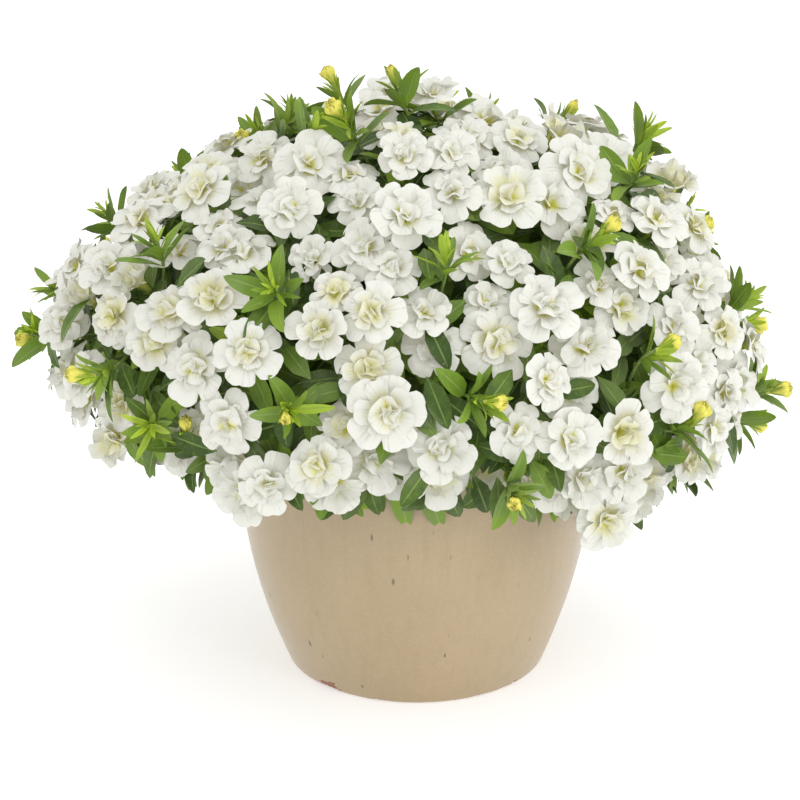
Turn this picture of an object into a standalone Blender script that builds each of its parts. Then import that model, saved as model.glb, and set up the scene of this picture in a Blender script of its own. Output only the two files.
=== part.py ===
"""A double-flowered calibrachoa growing in a glazed stoneware pot.

Pieces: the pot, the potting soil, and the flowering stems. Each stem stands in its own hole in
the soil, arches outwards, forks once, and carries its share of the canopy on pedicels: double
blooms with five-lobed petals round a rosette, and leafy shoots, some with a bud.
Metres, +Z up, origin at the middle of the pot's underside, the photographed side facing -Y.
"""

import math
import random

import bmesh
import bpy
import numpy as np
from mathutils import Matrix, Vector
from mathutils.bvhtree import BVHTree

# Pot
POT_HEIGHT = 0.142
RIM_RADIUS = 0.0995
FOOT_RADIUS = 0.072
WALL_CURVE = 2.25
WALL = 0.0075
FLOOR = 0.009
RIM_ROUND = 0.0035
POT_SIDES = 30
DRAIN_RADIUS = 0.005
DRAIN_RING = 0.035
DRAIN_COUNT = 3

# Soil
SOIL_LEVEL = 0.128
SOIL_MOUND = 0.006
SOIL_GAP = 0.0004
HOLE_DEPTH = 0.022
HOLE_PLAY = 0.0004

# Canopy: a low dome that droops furthest at its right and least at its front
CANOPY_MIDDLE = np.array([-0.004, 0.0, 0.166])
REACH_LEFT = 0.202
REACH_RIGHT = 0.192
REACH_FRONT = 0.168
REACH_BACK = 0.176
CANOPY_RISE = 0.160
DROOP_LEFT = 0.014
DROOP_RIGHT = 0.078
DROOP_FRONT = 0.008
DROOP_BACK = 0.040
LOWEST_SINE = -0.62
# Fuller and flatter places in the outline seen from the front: degrees above the right-hand
# horizon, how many degrees wide, and how much further the canopy reaches there
LUMPS = ((42, 15, 0.05), (64, 10, -0.08), (90, 10, 0.04), (122, 12, -0.05), (205, 16, -0.10))
GOLDEN_ANGLE = math.pi * (3 - math.sqrt(5))

# Sites on the canopy: open blooms, and leafy shoots between them
SITE_COUNT = 236
SITE_SEED = 7
SITE_JITTER = 0.009
SITE_SPACING = 0.0310
RELAX_STEPS = 40
SHOOT_EVERY = 5
BUD_SHARE = 0.5
FACE_LIFT = 0.16
FACE_AWAY = 0.66
BLOOM_RADIUS = (0.0156, 0.0188)
LAYER_STEP = 0.0085
LAYER_COUNT = 3
SHOOT_STAND = 0.003

# Flowering stems
STEM_COUNT = 30
STEM_SEED = 3
FORK_DEPTH = (0.040, 0.058)
FORK_RADIUS = 0.0060
CORE_DEPTH = 0.027
CORE_SHRINK = 0.86
CORE_TRIES = 8
STEM_RADIUS = (0.0022, 0.0017)
STEM_POINTS = 4
STEM_SIDES = 4
STEM_RISE = 0.020
CREST_REACH = 0.85
SWAYS = (0, 0.12, -0.12, 0.24, -0.24, 0.36, -0.36)
FOOT_SPREAD = 0.046
POT_CLEARANCE = 0.020
OVER_RIM = 0.024
RIM_CLEARANCE = 0.007

# One bloom, as shares of its radius
LOBES = 5
NOTCH = 0.70
SHOULDER_TURN = 0.32
LOBE_CURL = 0.10
THROAT_DEPTH = 0.50
THROAT_RADIUS = 0.12
ROSETTE_RADIUS = 0.44
ROSETTE_HEIGHT = 0.34
BLOOM_TILT = 0.07
TRIES = 15
LIFTS = (0, 0.35, -0.35, 0.7, -0.7)
SHRINK = 0.94

# One leafy shoot: a whorl of leaves, each with one full and one straighter side
SHOOT_LEAVES = 4
LEAF_LENGTH = (0.016, 0.023)
LEAF_WAIST = 0.0022
LEAF_HALF_WIDTH = 0.0036
LEAF_WIDEST = 0.60
LEAF_LEAN = (0.45, 1.0)
SHOOT_DEPTH = 0.012
SHOOT_ROOT = 0.0045
SHOOT_STALK = 0.0016
BUD_LENGTH = 0.014
BUD_WIDTH = 0.0050
BUD_WIDEST = 0.72

COLOURS = {
    "stoneware": ((0.50, 0.41, 0.29), 0.30),
    "soil": ((0.06, 0.04, 0.03), 0.95),
    "bloom": ((0.86, 0.86, 0.80), 0.60),
}


def clear_scene():
    for thing in list(bpy.data.objects):
        bpy.data.objects.remove(thing, do_unlink=True)


def material(name):
    """The named finish, as a Principled surface."""
    colour, roughness = COLOURS[name]
    made = bpy.data.materials.get(name) or bpy.data.materials.new(name)
    made.use_nodes = True
    surface = made.node_tree.nodes["Principled BSDF"]
    surface.inputs["Base Color"].default_value = (*colour, 1.0)
    surface.inputs["Roughness"].default_value = roughness
    surface.inputs["Metallic"].default_value = 0.0
    return made


def object_from(bm, name, finish=None):
    """A bmesh as an object with its normals facing out."""
    bmesh.ops.recalc_face_normals(bm, faces=bm.faces[:])
    mesh = bpy.data.meshes.new(name)
    bm.to_mesh(mesh)
    bm.free()
    made = bpy.data.objects.new(name, mesh)
    bpy.context.scene.collection.objects.link(made)
    if finish:
        mesh.materials.append(material(finish))
    return made


def apply_boolean(target, operation, helpers, finish):
    """Joins the helpers to the target or cuts them from it, and removes them."""
    group = bpy.data.collections.new("helpers")
    for helper in helpers:
        bpy.context.scene.collection.objects.unlink(helper)
        group.objects.link(helper)
    cut = target.modifiers.new("join", "BOOLEAN")
    cut.operation = operation
    cut.operand_type = "COLLECTION"
    cut.collection = group
    cut.solver = "EXACT"
    bpy.context.view_layer.update()
    graph = bpy.context.evaluated_depsgraph_get()
    result = bpy.data.meshes.new_from_object(target.evaluated_get(graph))
    target.modifiers.clear()
    target.data = result
    result.materials.clear()
    result.materials.append(material(finish))
    for helper in helpers:
        bpy.data.objects.remove(helper, do_unlink=True)
    bpy.data.collections.remove(group)


# The pot and its soil


def pot_radius(height):
    """The pot's outer radius at a height above its foot."""
    left = 1 - height / POT_HEIGHT
    return RIM_RADIUS - (RIM_RADIUS - FOOT_RADIUS) * left**WALL_CURVE


def turned(profile, name, finish):
    """A solid turned from (radius, height) points that start and end on the axis."""
    bm = bmesh.new()
    points = [bm.verts.new((radius, 0, height)) for radius, height in profile]
    edges = [bm.edges.new(pair) for pair in zip(points, points[1:])]
    bmesh.ops.spin(bm, geom=points + edges, cent=(0, 0, 0), axis=(0, 0, 1),
                   angle=math.tau, steps=POT_SIDES, use_merge=True)
    bmesh.ops.remove_doubles(bm, verts=bm.verts[:], dist=1e-5)
    made = object_from(bm, name, finish)
    made.data.shade_smooth()
    made.data.set_sharp_from_angle(angle=math.radians(40))
    return made


def drill(place, radius, bottom, top, sides, start_turn=0.0):
    """A prism that cuts a hole straight down, with a corner at start_turn."""
    bm = bmesh.new()
    ends = [ring(bm, sides, lambda i: around(
        Matrix.Translation((place[0], place[1], height)), start_turn + math.tau * i / sides,
        radius, 0)) for height in (bottom, top)]
    join_rings(bm, *ends)
    for end in ends:
        bm.faces.new(end)
    return object_from(bm, "drill")


def make_pot():
    shoulder = POT_HEIGHT - RIM_ROUND
    outer = [(pot_radius(h), h) for h in np.linspace(0.002, shoulder, 5)]
    rim = [(RIM_RADIUS - RIM_ROUND * 0.5, POT_HEIGHT), (RIM_RADIUS - WALL, POT_HEIGHT - 0.001)]
    inner = [(pot_radius(h) - WALL, h) for h in np.linspace(shoulder - 0.006, FLOOR + 0.006, 3)]
    foot = [(0, 0), (FOOT_RADIUS - 0.002, 0)]
    floor = [(pot_radius(FLOOR) - WALL - 0.006, FLOOR), (0, FLOOR)]
    pot = turned(foot + outer + rim + inner + floor, "pot", "stoneware")
    holes = []
    for index in range(DRAIN_COUNT):
        turn = math.tau * index / DRAIN_COUNT
        place = (DRAIN_RING * math.cos(turn), DRAIN_RING * math.sin(turn))
        holes.append(drill(place, DRAIN_RADIUS, -0.01, FLOOR + 0.01, 6))
    apply_boolean(pot, "DIFFERENCE", holes, "stoneware")
    return pot


def make_soil(feet):
    """Soil that fills the pot, mounded in the middle, with a plain hole for each stem's foot."""
    edge = [(pot_radius(h) - WALL - SOIL_GAP * 2, h)
            for h in np.linspace(FLOOR + 0.007, SOIL_LEVEL, 3)]
    bottom = FLOOR + SOIL_GAP
    soil = turned([(0, bottom), (edge[0][0] - 0.008, bottom)] + edge
                  + [(0, SOIL_LEVEL + SOIL_MOUND)], "potting_soil", "soil")
    holes = [drill(foot, STEM_RADIUS[0] + HOLE_PLAY, foot.z - HOLE_PLAY, SOIL_LEVEL + 0.02,
                   STEM_SIDES, math.atan2(foot.y, foot.x) + math.pi / STEM_SIDES)
             for foot in feet]
    apply_boolean(soil, "DIFFERENCE", holes, "soil")


# Where everything on the canopy is


def canopy_axes(offsets):
    """The canopy's half-axes towards each offset from its middle, with its lumps."""
    left, near = offsets[:, 0] < 0, offsets[:, 1] < 0
    across = offsets[:, 0] ** 2 / (offsets[:, 0] ** 2 + offsets[:, 1] ** 2 + 1e-12)
    droop = (np.where(near, DROOP_FRONT, DROOP_BACK) * (1 - across)
             + np.where(left, DROOP_LEFT, DROOP_RIGHT) * across)
    tall = np.where(offsets[:, 2] > 0, CANOPY_RISE, droop)
    axes = np.stack([np.where(left, REACH_LEFT, REACH_RIGHT),
                     np.where(near, REACH_FRONT, REACH_BACK), tall], axis=1)
    seen = np.degrees(np.arctan2(offsets[:, 2], offsets[:, 0])) % 360
    aside = np.hypot(offsets[:, 0], offsets[:, 2]) / (np.linalg.norm(offsets, axis=1) + 1e-12)
    for middle, width, amount in LUMPS:
        apart = np.abs((seen - middle + 180) % 360 - 180)
        axes *= (1 + amount * aside**2 * np.exp(-((apart / width) ** 2)))[:, None]
    return axes


def onto_canopy(points):
    """The points moved along their own directions onto the canopy's surface."""
    offsets = points - CANOPY_MIDDLE
    axes = canopy_axes(offsets)
    unit = offsets / axes
    unit /= np.linalg.norm(unit, axis=1, keepdims=True)
    sine = np.maximum(unit[:, 2], LOWEST_SINE)
    level = np.linalg.norm(unit[:, :2], axis=1) + 1e-12
    unit[:, :2] *= (np.sqrt(1 - sine**2) / level)[:, None]
    unit[:, 2] = sine
    return CANOPY_MIDDLE + unit * axes


def spread(count, spacing, jitter, seed):
    """Points spread evenly over the canopy: a golden-angle spiral, shaken and pushed apart."""
    draw = np.random.default_rng(seed)
    steps = np.arange(count)
    sine = 1 - (steps + 0.5) / count * (1 - LOWEST_SINE)
    flat = np.sqrt(1 - sine**2)
    turn = steps * GOLDEN_ANGLE
    unit = np.stack([flat * np.cos(turn), flat * np.sin(turn), sine], axis=1)
    points = onto_canopy(CANOPY_MIDDLE + unit * 0.1)
    points = onto_canopy(points + draw.uniform(-jitter, jitter, points.shape))
    for _ in range(RELAX_STEPS):
        apart = points[:, None] - points[None]
        distance = np.linalg.norm(apart, axis=2) + np.eye(count)
        push = np.clip(spacing - distance, 0, None) / distance * (1 - np.eye(count))
        points = onto_canopy(points + 0.4 * (apart * push[..., None]).sum(axis=1))
    return points


def away_from(fork, place, face):
    """The face turned until it looks well away from the fork behind it."""
    behind = (place - fork).normalized()
    while face.dot(behind) < FACE_AWAY:
        face = (face + behind * 0.2).normalized()
    return face


def facing_at(point):
    """The way a bloom looks: out of the canopy, and never down."""
    offset = np.array(point) - CANOPY_MIDDLE
    axes = canopy_axes(offset[None])[0]
    out = Vector((offset[0] / axes[0] ** 2, offset[1] / axes[1] ** 2,
                  max(offset[2], 0) / CANOPY_RISE**2)).normalized()
    return (out + Vector((0, 0, FACE_LIFT))).normalized()


def lay_out_sites():
    """Every bloom and shoot: its place, the way it faces, its size and how deep it sits."""
    draw = random.Random(SITE_SEED)
    sites = []
    for index, point in enumerate(spread(SITE_COUNT, SITE_SPACING, SITE_JITTER, SITE_SEED)):
        shoot = index % SHOOT_EVERY == 2
        radius = draw.uniform(*BLOOM_RADIUS)
        tilt = Vector((draw.uniform(-1, 1), draw.uniform(-1, 1), draw.uniform(-1, 1)))
        sites.append({"surface": Vector(point), "face": facing_at(point), "radius": radius,
                      "shoot": shoot, "tilt": tilt, "turn": draw.uniform(0, math.tau),
                      "bud": shoot and draw.random() < BUD_SHARE, "layer": 0})
    for index, site in enumerate(sites):
        if site["shoot"]:
            continue
        near = {other["layer"] for other in sites[:index] if not other["shoot"]
                and (other["surface"] - site["surface"]).length < other["radius"] + site["radius"]}
        free = [layer for layer in range(LAYER_COUNT) if layer not in near]
        site["layer"] = free[0] if free else LAYER_COUNT - 1
    for site in sites:
        sink = -SHOOT_STAND if site["shoot"] else site["layer"] * LAYER_STEP
        site["place"] = site["surface"] - site["face"] * sink
    return sites


def clear_of_pot(point):
    """The point, moved outwards if it would be too near the pot's wall or rim."""
    if point.z > POT_HEIGHT + OVER_RIM:
        return point
    level = Vector((point.x, point.y, 0))
    reach = max(level.length, RIM_RADIUS + POT_CLEARANCE)
    return level.normalized() * reach + Vector((0, 0, point.z))


def lay_out_stems():
    """Each stem's foot in the soil and the fork that its share of the canopy grows from."""
    stems = []
    for place in spread(STEM_COUNT, 0.095, 0.010, STEM_SEED):
        height = min(max((place[2] - POT_HEIGHT) / CANOPY_RISE, 0), 1)
        depth = FORK_DEPTH[0] + (FORK_DEPTH[1] - FORK_DEPTH[0]) * height
        fork = clear_of_pot(Vector(place) - facing_at(place) * depth)
        level = Vector((fork.x, fork.y, 0))
        share = 1 - max((fork.z - POT_HEIGHT) / CANOPY_RISE, 0)
        foot = level.normalized() * FOOT_SPREAD * share**0.5
        foot.z = SOIL_LEVEL - HOLE_DEPTH
        stems.append({"fork": fork, "foot": foot, "aim": Vector(place)})
    return stems


# The shapes on a stem


def ring(bm, count, shape):
    """A loop of count points, each placed by shape(index)."""
    return [bm.verts.new(shape(index)) for index in range(count)]


def close_to(bm, loop, tip):
    """Closes a loop with a fan of triangles that meet at tip."""
    centre = bm.verts.new(tip)
    for first, second in zip(loop, loop[1:] + loop[:1]):
        bm.faces.new((first, second, centre))


def join_rings(bm, first, second, ahead=0.0):
    """Triangles between two loops that run the same way round, however many points each has.

    ahead is how far round the second loop's first point lies past the first loop's, in turns.
    """
    here, there = 0, 0
    while here < len(first) or there < len(second):
        corner = (first[here % len(first)], second[there % len(second)])
        due = (here + 0.5) / len(first) <= (there + 0.5) / len(second) + ahead
        if here < len(first) and (due or there == len(second)):
            here += 1
            bm.faces.new((*corner, first[here % len(first)]))
        else:
            there += 1
            bm.faces.new((*corner, second[there % len(second)]))


def standing(place, axis, turn=0.0):
    """The frame at place whose Z runs along axis."""
    turned_to = axis.to_track_quat("Z", "Y").to_matrix().to_4x4()
    return Matrix.Translation(place) @ turned_to @ Matrix.Rotation(turn, 4, "Z")


def around(frame, angle, radius, height):
    return frame @ Vector((radius * math.cos(angle), radius * math.sin(angle), height))


def pedicel(bm, rim, start_turn, fork, frame, depth, radius):
    """The underside of a bloom or a whorl, drawn in to a stalk that ends inside the fork."""
    throat = ring(bm, 3, lambda i: around(
        frame, start_turn + math.tau * i / 3, radius, -depth))
    join_rings(bm, rim, throat)
    close_to(bm, throat, fork)


def bloom(fork, radius, frame, layered):
    """One double bloom on its pedicel."""
    step = math.tau / LOBES

    def lobed(index):
        lobe, part = divmod(index, 3)
        if part == 0:
            return around(frame, step * lobe, NOTCH * radius, -0.04 * radius)
        side = SHOULDER_TURN if part == 1 else 1 - SHOULDER_TURN
        curl = LOBE_CURL * radius * (1 if (lobe + part) % 2 else 0.2)
        return around(frame, step * (lobe + side), radius, curl)

    bm = bmesh.new()
    rim = ring(bm, LOBES * 3, lobed)
    if layered:
        rosette = ring(bm, LOBES, lambda i: around(
            frame, step * (i + 0.5), ROSETTE_RADIUS * radius, ROSETTE_HEIGHT * radius))
        join_rings(bm, rim, rosette, 0.5 / LOBES)
        close_to(bm, rosette, around(frame, 0, 0, 0.16 * radius))
    else:
        close_to(bm, rim, around(frame, 0, 0, 0.26 * radius))
    pedicel(bm, rim, 0, fork, frame, THROAT_DEPTH * radius, THROAT_RADIUS * radius)
    return bm


def shoot_frame(site, fork):
    """Where a leafy shoot's leaves meet, and the way it grows."""
    face = (site["face"] + site["tilt"] * BLOOM_TILT).normalized()
    face = away_from(fork, site["place"], face)
    return standing(site["place"] - face * SHOOT_DEPTH, face, site["turn"])


def whorl(site, fork):
    """A leafy shoot: a whorl of leaves, drawn in to one stalk."""
    draw = random.Random(int(site["turn"] * 1e6))
    frame = shoot_frame(site, fork)
    step = math.tau / SHOOT_LEAVES
    leaves = [(draw.uniform(*LEAF_LENGTH), draw.uniform(*LEAF_LEAN)) for _ in range(SHOOT_LEAVES)]

    def edge(index):
        leaf, part = divmod(index, 3)
        if part == 0:
            return around(frame, step * (leaf - 0.5), LEAF_WAIST, 0)
        length, lean = leaves[leaf]
        share = LEAF_WIDEST if part == 1 else 1
        reach = LEAF_WAIST + length * share * math.sin(lean)
        swing = -math.atan2(LEAF_HALF_WIDTH, reach) if part == 1 else 0
        return around(frame, step * leaf + swing, reach, length * share * math.cos(lean))

    bm = bmesh.new()
    rim = ring(bm, SHOOT_LEAVES * 3, edge)
    close_to(bm, rim, around(frame, 0, 0, LEAF_WAIST))
    pedicel(bm, rim, -step / 2, fork, frame, SHOOT_ROOT, SHOOT_STALK)
    return bm


def bud(site, fork):
    """A furled bud that stands in the middle of a whorl, fullest near its tip."""
    frame = shoot_frame(site, fork)
    bm = bmesh.new()
    belt = ring(bm, 4, lambda i: around(
        frame, math.tau * i / 4, BUD_WIDTH / 2, BUD_LENGTH * BUD_WIDEST))
    close_to(bm, belt, around(frame, 0, 0, -LEAF_WAIST))
    close_to(bm, belt, around(frame, 0, 0, BUD_LENGTH))
    return bm


def stem_path(stem, sway):
    """A smooth arch from the stem's foot, clear of the pot's rim, to its fork.

    sway is how far its middle is bent round the pot, in radians.
    """
    foot, fork = stem["foot"], stem["fork"]
    crest = Matrix.Rotation(sway, 3, "Z") @ Vector((fork.x, fork.y, 0)) * CREST_REACH
    arch = min(crest.length / RIM_RADIUS, 1)
    crest.z = SOIL_LEVEL + (fork.z - SOIL_LEVEL) * (0.6 + 0.4 * arch) + STEM_RISE * arch
    straight = Vector((foot.x, foot.y, SOIL_LEVEL + 0.008))
    while True:
        path = [foot]
        for index in range(STEM_POINTS):
            t = index / (STEM_POINTS - 1)
            path.append(straight * (1 - t) ** 2 + crest * 2 * t * (1 - t) + fork * t**2)
        if all(over_rim(*pair) for pair in zip(path, path[1:])):
            return path
        crest.z += 0.004


def over_rim(start, end):
    """Whether a straight piece of stem is clear of the pot's rim."""
    for step in range(9):
        point = start.lerp(end, step / 8)
        near = abs(Vector((point.x, point.y, 0)).length - RIM_RADIUS) < WALL + RIM_CLEARANCE
        if near and point.z < POT_HEIGHT + RIM_CLEARANCE:
            return False
    return True


def main_stem(stem, sway):
    """The main stem, swollen at its end to the fork that its pedicels grow from."""
    path = stem_path(stem, sway)
    outward = Vector((stem["fork"].x, stem["fork"].y, 0)).normalized()
    across = outward.cross(Vector((0, 0, 1)))
    last = (path[-1] - path[-2]).normalized()
    path.insert(-1, path[-1] - last * FORK_RADIUS)
    turns = [math.tau * (corner + 0.5) / STEM_SIDES for corner in range(STEM_SIDES)]
    bm = bmesh.new()
    loops = []
    for index, point in enumerate(path):
        along = (path[min(index + 1, len(path) - 1)] - path[max(index - 1, 0)]).normalized()
        up = across.cross(along)
        share = index / (len(path) - 1)
        radius = STEM_RADIUS[0] + (STEM_RADIUS[1] - STEM_RADIUS[0]) * share
        if share == 1:
            radius = FORK_RADIUS
        loops.append(ring(bm, STEM_SIDES, lambda i: point + (
            across * math.cos(turns[i]) + up * math.sin(turns[i])) * radius))
    bm.faces.new(loops[0])
    for first, second in zip(loops, loops[1:]):
        join_rings(bm, first, second)
    close_to(bm, loops[-1], path[-1] + last * FORK_RADIUS)
    return bm


def core(share, fork, shrink):
    """The dense middle of a stem's leafage, which its blooms and shoots stand out of."""
    roots = [site["place"] - site["face"] * CORE_DEPTH for site in share]
    middle = sum(roots, Vector()) / len(roots)
    bm = bmesh.new()
    for root in roots:
        bm.verts.new(middle + (root - middle) * shrink)
    bm.verts.new(fork)
    made = bmesh.ops.convex_hull(bm, input=bm.verts[:])
    spare = {part for part in made["geom_interior"] if isinstance(part, bmesh.types.BMVert)}
    bmesh.ops.delete(bm, geom=list(spare), context="VERTS")
    return bm, middle.lerp(fork, 0.4)


def footprint(bm):
    """What a shape fills, for the crossing test: its tree, its middle and its reach."""
    middle = sum((point.co for point in bm.verts), Vector()) / len(bm.verts)
    return BVHTree.FromBMesh(bm), middle, max((p.co - middle).length for p in bm.verts)


def crosses(entry, others):
    """Whether a shape cuts any of the others."""
    tree, middle, reach = entry
    return any((middle - place).length < reach + span and tree.overlap(other)
               for other, place, span in others)


def fit_bloom(site, fork, others, own):
    """The bloom at its best size and lift, clear of other stems and, if it can be, of its own."""
    spare = None
    for attempt in range(TRIES):
        radius = site["radius"] * SHRINK ** (attempt // len(LIFTS))
        lift = LIFTS[attempt % len(LIFTS)] * LAYER_STEP
        face = (site["face"] + site["tilt"] * BLOOM_TILT / (1 + attempt)).normalized()
        face = away_from(fork, site["place"], face)
        frame = standing(site["place"] + face * lift, face, site["turn"] + attempt)
        made = bloom(fork, radius, frame, site["layer"] == 0)
        entry = footprint(made)
        if not crosses(entry, others):
            if not crosses(entry, own):
                return made, entry
            spare = spare or (made, entry)
    return spare or (None, None)


def share_out(sites, stems):
    """The sites that each stem carries: those nearest to where it aims."""
    shares = [[] for _ in stems]
    for site in sites:
        nearest = min(range(len(stems)),
                      key=lambda i: (stems[i]["aim"] - site["surface"]).length)
        shares[nearest].append(site)
    return shares


def make_flowering_stems(sites, stems, pot):
    """Grows every stem's share of the canopy, and leaves out what has no room."""
    shape = bmesh.new()
    shape.from_mesh(pot.data)
    fixed = [footprint(shape)]
    shares = share_out(sites, stems)
    bodies, placed = [], []
    for index, stem in enumerate(stems):
        others = fixed + [group[0] for group in placed]
        for sway in SWAYS:
            made = main_stem(stem, sway)
            entry = footprint(made)
            if not crosses(entry, others):
                break
        else:
            print("no room for a main stem:", index + 1)
        bodies.append((object_from(made, f"flowering_stem_{index + 1:02d}", "bloom"), []))
        placed.append([entry])
    for index, (stem, share) in enumerate(zip(stems, shares)):
        others = fixed + [e for k, group in enumerate(placed) if k != index for e in group]
        for attempt in range(CORE_TRIES):
            made, stem["heart"] = core(share, stem["fork"], CORE_SHRINK - 0.08 * attempt)
            if not crosses(footprint(made), others):
                break
        else:
            print("no room for a core:", index + 1)
        bodies[index][1].append(made)
        placed[index].append(footprint(made))
    lost = 0
    for index, (stem, share) in enumerate(zip(stems, shares)):
        others = fixed + [e for k, group in enumerate(placed) if k != index for e in group]
        own = []
        for site in sorted(share, key=lambda s: s["layer"]):
            if site["shoot"]:
                made = whorl(site, stem["heart"])
                entry = footprint(made)
                made, entry = (None, None) if crosses(entry, others) else (made, entry)
            else:
                made, entry = fit_bloom(site, stem["heart"], others, own)
            if not made:
                lost += 1
                continue
            bodies[index][1].append(made)
            placed[index].append(entry)
            own.append(entry)
            if site["bud"]:
                made = bud(site, stem["heart"])
                if not crosses(footprint(made), others):
                    bodies[index][1].append(made)
                    placed[index].append(footprint(made))
    print("left out for want of room:", lost)
    for body, parts in bodies:
        apply_boolean(body, "UNION", [object_from(part, "repeat") for part in parts], "bloom")


def main():
    clear_scene()
    sites = lay_out_sites()
    stems = lay_out_stems()
    pot = make_pot()
    make_soil([stem["foot"] for stem in stems])
    make_flowering_stems(sites, stems, pot)


main()
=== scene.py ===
import random
from math import atan2, cos, degrees, exp, hypot, pi, radians, sin, sqrt, tau

import bmesh
import bpy
import numpy as np
from mathutils import Matrix, Vector, noise


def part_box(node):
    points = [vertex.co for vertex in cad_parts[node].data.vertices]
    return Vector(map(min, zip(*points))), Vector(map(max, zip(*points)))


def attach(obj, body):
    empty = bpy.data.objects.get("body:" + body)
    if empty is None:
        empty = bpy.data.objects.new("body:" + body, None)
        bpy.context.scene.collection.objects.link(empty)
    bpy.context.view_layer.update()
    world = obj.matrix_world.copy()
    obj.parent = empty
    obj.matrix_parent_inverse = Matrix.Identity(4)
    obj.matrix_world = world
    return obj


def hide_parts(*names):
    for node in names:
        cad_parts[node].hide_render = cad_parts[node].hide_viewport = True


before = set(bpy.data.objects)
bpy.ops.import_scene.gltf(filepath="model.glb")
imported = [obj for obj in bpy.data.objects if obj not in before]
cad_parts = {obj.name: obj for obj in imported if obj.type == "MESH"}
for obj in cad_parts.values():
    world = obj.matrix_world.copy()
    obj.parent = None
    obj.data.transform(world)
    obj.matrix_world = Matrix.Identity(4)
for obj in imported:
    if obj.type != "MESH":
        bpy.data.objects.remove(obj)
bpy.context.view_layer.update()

# Pot and soil
POT_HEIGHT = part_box("pot")[1][2]
RIM_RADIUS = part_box("pot")[1][0]
FOOT_RADIUS = 0.072
WALL_CURVE = 2.25
WALL = 0.0075
FLOOR = 0.009
RIM_ROUND = 0.0035
POT_STEPS = 288
FOOT_HEIGHTS = (0.0010, 0.0018, 0.0027, 0.0038, 0.0052, 0.0072)
WALL_RINGS = 40
RIM_ANGLES = np.linspace(0.15, pi - 0.15, 9)
CHIPS = ((229, 6.5, 0.0062), (252, 2.0, 0.0022), (318, 1.6, 0.0030), (20, 3.0, 0.0030),
         (97, 2.4, 0.0036), (166, 1.8, 0.0024))
DRAIN_RADIUS = 0.005
DRAIN_RING = 0.035
DRAIN_COUNT = 3
SOIL_LEVEL = 0.128
SOIL_MOUND = 0.006
SOIL_TOP_RADIUS = 0.0895
SOIL_STEPS = 96
CRUMB_SCALE = 160
CRUMB_HEIGHT = 0.0016
HOLE_DEPTH = 0.022

# Canopy, as the solids lay it out
CANOPY_MIDDLE = np.array([-0.004, 0.0, 0.166])
REACH_LEFT = 0.202
REACH_RIGHT = 0.192
REACH_FRONT = 0.168
REACH_BACK = 0.176
CANOPY_RISE = 0.160
DROOP_LEFT = 0.014
DROOP_RIGHT = 0.078
DROOP_FRONT = 0.008
DROOP_BACK = 0.040
LOWEST_SINE = -0.62
LUMPS = ((42, 15, 0.05), (64, 10, -0.08), (90, 10, 0.04), (122, 12, -0.05), (205, 16, -0.10))
GOLDEN_ANGLE = pi * (3 - sqrt(5))
SITE_COUNT = 236
SITE_SEED = 7
SITE_JITTER = 0.009
SITE_SPACING = 0.0310
RELAX_STEPS = 40
RELAX_SHARE = 0.4
SHOOT_EVERY = 5
BUD_SHARE = 0.5
FACE_LIFT = 0.16
FACE_AWAY = 0.66
BLOOM_RADIUS = (0.0156, 0.0188)
BLOOM_TILT = 0.07
VISIBLE_TILT = 0.30
FULLER = (0.95, 1.16)
CLUMP_SCALE = 21
CLUMP_SHIFT = 0.011
CLUMP_SEED = 5
TO_LIGHT = Vector((0.05, -0.80, 0.60))
BACK_SHADE = 1.6
LIGHT_LEAN = 0.38
LEAN_SINK = 0.65

# How much deeper than the solids' surface the flowers sit round the outline that the
# camera sees: degrees and depth
SETTLE = ((-52, 0.004), (-36, -0.002), (-20, 0.016), (-4, -0.003), (12, 0.006), (22, 0.012),
          (36, 0.010), (44, 0.006), (52, -0.002), (68, 0.006), (84, 0.008), (108, 0.009),
          (120, 0.005), (132, 0.009), (147, 0.006), (154, 0.014), (164, -0.001),
          (172, -0.004), (180, -0.003), (188, 0.017), (196, 0.025), (204, 0.0),
          (212, -0.012), (220, -0.010), (238, 0.0))
LAYER_STEP = 0.0085
LAYER_COUNT = 3
SHOOT_STAND = 0.003
SHOOT_DEPTH = 0.006
STEM_COUNT = 30
STEM_SPACING = 0.095
STEM_JITTER = 0.010
STEM_SEED = 3
HEART_SHARE = 0.4
FORK_DEPTH = (0.040, 0.058)
CORE_DEPTH = 0.027
STEM_RADIUS = (0.0020, 0.0011)
STEM_RISE = 0.020
CREST_REACH = 0.85
FOOT_SPREAD = 0.046
POT_CLEARANCE = 0.020
OVER_RIM = 0.024

# Blooms and leaves that fill the canopy behind the ones of the solids
GAP_TRIES = 1400
GAP_SPACING = 0.012
GAP_JITTER = 0.004
GAP_SEED = 31
GAP_LEAST = 0.0015
GAP_COUNT = 88
GAP_RADIUS = (0.0130, 0.0165)
GAP_DEPTH = (0.006, 0.014)
INNER_SPACING = 0.018
INNER_JITTER = 0.006
INNER_SHELLS = ((1700, 0.008, 0.028, 0.026, 41), (850, 0.032, 0.060, 0.030, 42),
                (450, 0.064, 0.105, 0.042, 43))

# What grows at each place: lengths and radii in metres, leans in radians
YOUNG_SHARE = 0.07
BLOOM_LEAVES = 5
LEAF_TRIES = 6
LEAF_LENGTH = (0.020, 0.031)
PEDICEL_RADII = (0.0009, 0.0007)
CALYX_LENGTH = 0.0085
SHOOT_LEAVES = 18
SHOOT_SWAY = (0.4, 1.4)
SHOOT_TOP = (0.006, 0.014)
SHOOT_RADII = (0.0011, 0.0008)
SHOOT_LEAF = 0.028
SHOOT_LEAF_LOSS = 0.018
SHOOT_LEAN = 1.05
SHOOT_LEAN_LOSS = 0.78
TUFT_START = 0.30
BUD_LENGTH = (0.0115, 0.0165)
BUD_CALYX = 0.0115

# The room that a bloom of radius 1 takes up in its own frame
HEAD_RADIUS = 0.95
HEAD_BACK = -0.12
HEAD_FRONT = 0.40

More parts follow.
